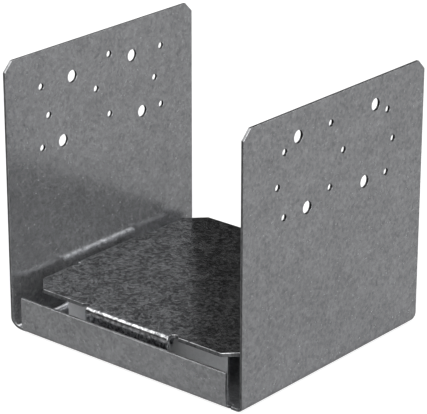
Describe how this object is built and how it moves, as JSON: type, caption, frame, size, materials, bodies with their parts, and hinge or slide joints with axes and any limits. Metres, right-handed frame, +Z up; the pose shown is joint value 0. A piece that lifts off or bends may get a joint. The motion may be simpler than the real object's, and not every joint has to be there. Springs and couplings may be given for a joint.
{
  "type": "timber post base",
  "caption": "Galvanised steel standoff base that anchors a square timber post to concrete, with tall nailing walls and a raised seat plate that keeps the end grain dry.",
  "frame": {"origin": "centre of the underside of the base, on the concrete", "axes": "+X from wall to wall, across the post; +Y from the front lip to the back lip; +Z up, along the post"},
  "size_m": [0.1944, 0.1818, 0.1812],
  "materials": {
    "strap_zinc": "galvanised, softly spangled, satin",
    "plate_zinc": "galvanised, satin, faint rolling streaks",
    "channel_zinc": "galvanised, satin"
  },
  "bodies": {
    "root": {"post_strap": "strap_zinc", "standoff_plate": "plate_zinc", "support_channel": "channel_zinc"}
  },
  "joints": []
}
